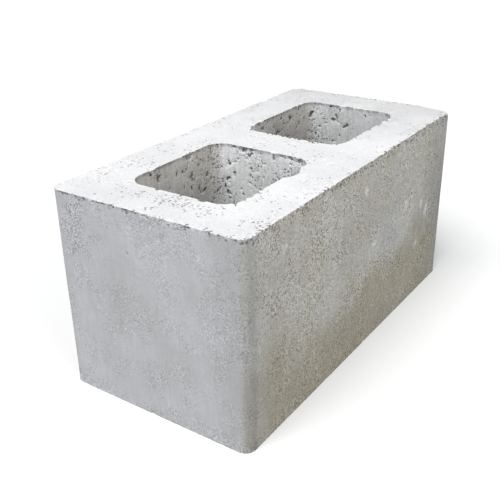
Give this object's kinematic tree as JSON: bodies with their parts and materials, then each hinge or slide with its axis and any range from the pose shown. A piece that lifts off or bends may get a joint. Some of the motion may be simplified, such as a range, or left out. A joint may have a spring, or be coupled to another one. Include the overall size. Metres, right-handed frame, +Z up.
{
  "type": "hollow concrete block",
  "caption": "Hollow masonry block of grey concrete with square-sided upright cores, rounded corners and flat bed faces, for laying in mortar.",
  "frame": {"origin": "middle of the bottom bed face, on the floor that the block stands on", "axes": "+X along the block's length, +Y across its width, +Z up along the cores"},
  "size_m": [0.4, 0.2, 0.195],
  "materials": {
    "concrete": "bare cast concrete, open sandy grain, matt"
  },
  "bodies": {
    "root": {"block": "concrete"}
  },
  "joints": []
}
